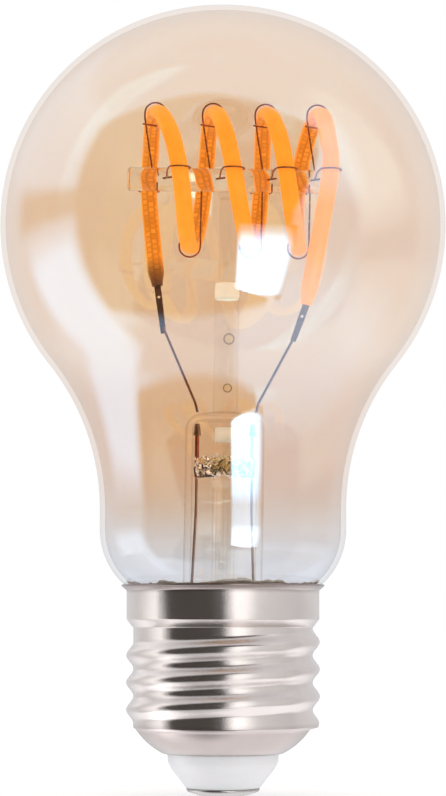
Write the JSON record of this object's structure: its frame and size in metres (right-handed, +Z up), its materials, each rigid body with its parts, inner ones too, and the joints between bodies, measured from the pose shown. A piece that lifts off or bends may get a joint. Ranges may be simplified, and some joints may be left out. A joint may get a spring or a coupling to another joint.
{
  "type": "smart light bulb",
  "caption": "Screw-in amber glass bulb with a coiled LED filament on a glass stem and a wireless driver in the cap.",
  "frame": {"origin": "centre of the contact's flat face at the bottom of the cap, on the bulb's axis", "axes": "+Z up the bulb's axis from the contact to the crown; +X along the filament's glass cross rod; -Y towards the side the filament's right end is on"},
  "size_m": [0.0604, 0.0604, 0.1066],
  "materials": {
    "amber_glass": "amber coated clear glass, polished",
    "clear_glass": "clear stem glass, polished",
    "nickel_shell": "bright nickel plate over brass",
    "contact_metal": "nickel plated contact",
    "white_insulator": "glossy white moulding",
    "cement": "baked cap cement",
    "filament_strip": "flexible circuit strip",
    "led_chip": "blue LED die under clear coat",
    "phosphor_silicone": "orange phosphor loaded silicone",
    "tab_metal": "dull nickel iron strip",
    "weld_metal": "oxidised weld",
    "lead_nickel": "dull nickel wire",
    "dumet": "copper clad seal wire",
    "support_wire": "dark molybdenum wire",
    "board": "green glass epoxy laminate",
    "black_package": "moulded black package",
    "capacitor_sleeve": "shrink sleeve",
    "choke_core": "ferrite with sleeve",
    "resistor_body": "cement coated resistor",
    "shield_can": "tinned steel can",
    "hookup_insulation": "silicone hook-up wire",
    "antenna_metal": "plated antenna wire",
    "solder": "solder"
  },
  "bodies": {
    "root": {"glass_envelope": "amber_glass", "screw_shell": "nickel_shell", "insulator": "white_insulator", "centre_contact": "contact_metal", "contact_solder": "solder", "cap_cement": "cement", "stem_flare": "clear_glass", "press_seal": "clear_glass", "exhaust_tube": "clear_glass", "pillar_lower": "clear_glass", "pillar_upper": "clear_glass", "pillar_joint": "clear_glass", "cross_rod": "clear_glass", "filament_substrate": "filament_strip", "filament_silicone": "phosphor_silicone", "led_chips": "led_chip", "tab_left": "tab_metal", "tab_right": "tab_metal", "weld_left": "weld_metal", "weld_right": "weld_metal", "lead_upper_left": "lead_nickel", "lead_upper_right": "lead_nickel", "lead_sleeve_left": "lead_nickel", "lead_sleeve_right": "lead_nickel", "lead_dumet_left": "dumet", "lead_dumet_right": "dumet", "lead_lower_left": "lead_nickel", "lead_lower_right": "lead_nickel", "top_hooks": "support_wire", "front_hooks": "support_wire", "bottom_hooks": "support_wire", "back_hooks": "support_wire", "driver_board": "board", "bridge_rectifier": "black_package", "driver_chip": "black_package", "radio_board": "board", "radio_shield": "shield_can", "storage_capacitor": "capacitor_sleeve", "choke": "choke_core", "fuse_resistor": "resistor_body", "antenna_wire": "antenna_metal", "contact_wire": "hookup_insulation", "shell_wire": "hookup_insulation"}
  },
  "joints": []
}
